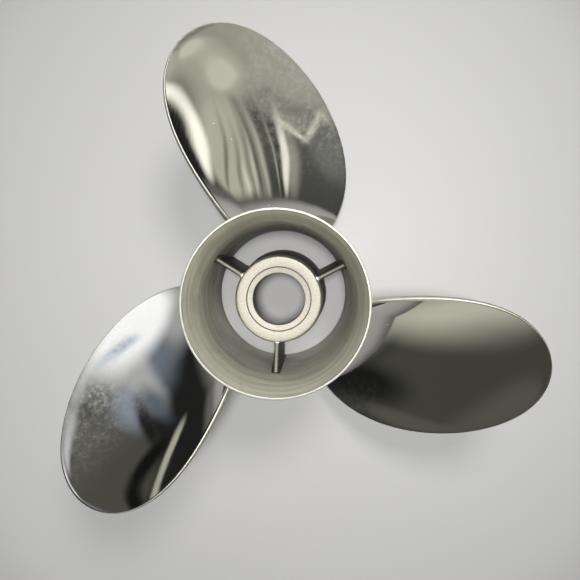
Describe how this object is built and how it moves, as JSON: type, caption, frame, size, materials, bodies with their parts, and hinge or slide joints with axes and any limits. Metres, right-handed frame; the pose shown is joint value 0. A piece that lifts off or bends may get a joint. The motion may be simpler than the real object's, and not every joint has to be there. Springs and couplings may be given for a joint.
{
  "type": "outboard boat propeller",
  "caption": "Skewed and raked blades round a flared barrel that lets exhaust out through the hub, in polished cast stainless steel.",
  "frame": {"origin": "centre of the barrel's front face, on the shaft's axis", "axes": "+Z along the shaft's axis, towards the stern; +X towards the middle of the right-hand blade's tip side in the picture"},
  "size_m": [0.3265, 0.3172, 0.135],
  "materials": {
    "polished_steel": "mirror-polished stainless steel",
    "satin_steel": "satin stainless steel",
    "cast_steel": "blasted as-cast stainless steel"
  },
  "bodies": {
    "root": {"barrel": "satin_steel", "flared_ring": "satin_steel", "inner_hub": "cast_steel", "rib_right": "cast_steel", "rib_left": "cast_steel", "rib_bottom": "cast_steel", "blade_right": "polished_steel", "blade_top": "polished_steel", "blade_left": "polished_steel"}
  },
  "joints": []
}
